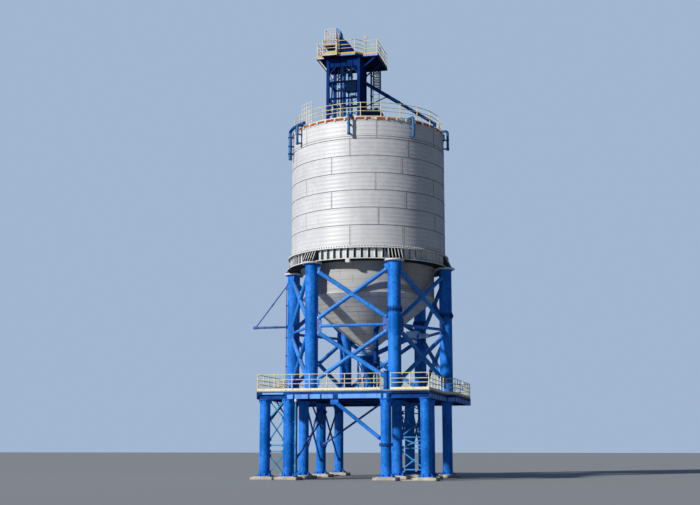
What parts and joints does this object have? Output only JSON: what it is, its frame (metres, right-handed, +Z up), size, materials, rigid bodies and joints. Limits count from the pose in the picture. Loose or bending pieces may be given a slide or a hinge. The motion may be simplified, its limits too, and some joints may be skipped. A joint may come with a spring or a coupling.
{
  "type": "cement silo",
  "caption": "Round steel bulk silo on braced tubular legs over a railed service deck on columns, with hopper, outlet chute, bucket elevator tower and roof walkway.",
  "frame": {"origin": "on the ground, below the middle of the whole part seen from above", "axes": "+Z up, -Y towards the yard side that the lorry lane opens to, +X to the right seen from the yard"},
  "size_m": [13.545, 13.42, 28.6],
  "materials": {
    "concrete": "rough cast concrete",
    "blue_paint": "semi-gloss, weathered",
    "dark_blue_paint": "semi-gloss, weathered",
    "light_blue_paint": "semi-gloss, weathered",
    "turquoise_paint": "semi-gloss, weathered",
    "shell_paint": "satin, dusty",
    "hopper_steel": "matt, streaked",
    "railing_paint": "satin, faded",
    "roof_steel": "matt with rusty kerb",
    "deck_steel": "chequer plate, worn"
  },
  "bodies": {
    "root": {"footing_left": "concrete", "footing_right": "concrete", "column_left_1": "blue_paint", "column_left_2": "blue_paint", "column_left_3": "blue_paint", "column_left_4": "blue_paint", "column_right_1": "blue_paint", "column_right_2": "blue_paint", "column_right_3": "blue_paint", "column_right_4": "blue_paint", "column_outer_left_front": "blue_paint", "column_outer_left_mid": "blue_paint", "column_outer_right_front": "blue_paint", "column_outer_right_second": "blue_paint", "column_outer_right_mid": "blue_paint", "knee_brace": "blue_paint", "lattice_left": "turquoise_paint", "lattice_right": "turquoise_paint", "deck_frame": "blue_paint", "deck_plate": "deck_steel", "deck_edge_post": "blue_paint", "railing_front": "railing_paint", "railing_right": "railing_paint", "railing_back": "railing_paint", "railing_left": "railing_paint", "leg_front_left": "blue_paint", "leg_front_right": "blue_paint", "leg_side_right": "blue_paint", "leg_back_right": "blue_paint", "leg_back_left": "blue_paint", "leg_side_left": "blue_paint", "bracing_front": "blue_paint", "bracing_front_right": "blue_paint", "bracing_back_right": "blue_paint", "bracing_back": "blue_paint", "bracing_back_left": "blue_paint", "bracing_front_left": "blue_paint", "outrigger_boom": "dark_blue_paint", "ring_girder_front": "shell_paint", "ring_girder_back": "shell_paint", "hopper": "hopper_steel", "outlet_gate": "light_blue_paint", "discharge_chute": "blue_paint", "discharge_feeder": "light_blue_paint", "shell_front_left": "shell_paint", "shell_front_right": "shell_paint", "shell_back_right": "shell_paint", "shell_back_left": "shell_paint", "roof": "roof_steel", "roof_railing_front": "railing_paint", "roof_railing_back": "railing_paint", "tower_frame": "dark_blue_paint", "elevator_casing": "light_blue_paint", "tower_deck": "dark_blue_paint", "tower_railing": "railing_paint", "head_platform": "railing_paint", "tower_ladder": "turquoise_paint", "transfer_chute": "blue_paint"}
  },
  "joints": []
}
